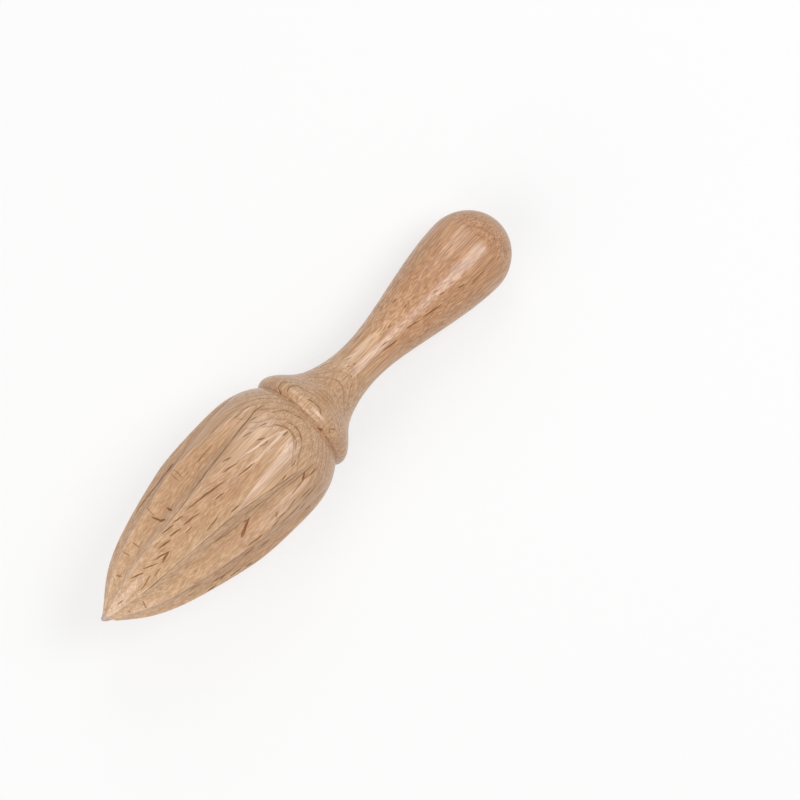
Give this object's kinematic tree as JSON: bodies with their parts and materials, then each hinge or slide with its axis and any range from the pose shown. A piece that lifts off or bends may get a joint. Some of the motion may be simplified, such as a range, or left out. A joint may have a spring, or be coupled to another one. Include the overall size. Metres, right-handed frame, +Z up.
{
  "type": "citrus reamer",
  "caption": "Hand citrus reamer turned from one piece of pale beech: pointed fluted head, groove, round bead, slim neck and a handle that swells to a round end.",
  "frame": {"origin": "on the table under the middle of the lying reamer", "axes": "+X towards the tip, +Z up from the table; the turning axis lies in the XZ plane, raised 4.5 degrees towards the tip"},
  "size_m": [0.1596, 0.0388, 0.0387],
  "materials": {
    "beech": "oiled, satin"
  },
  "bodies": {
    "root": {"reamer": "beech"}
  },
  "joints": []
}
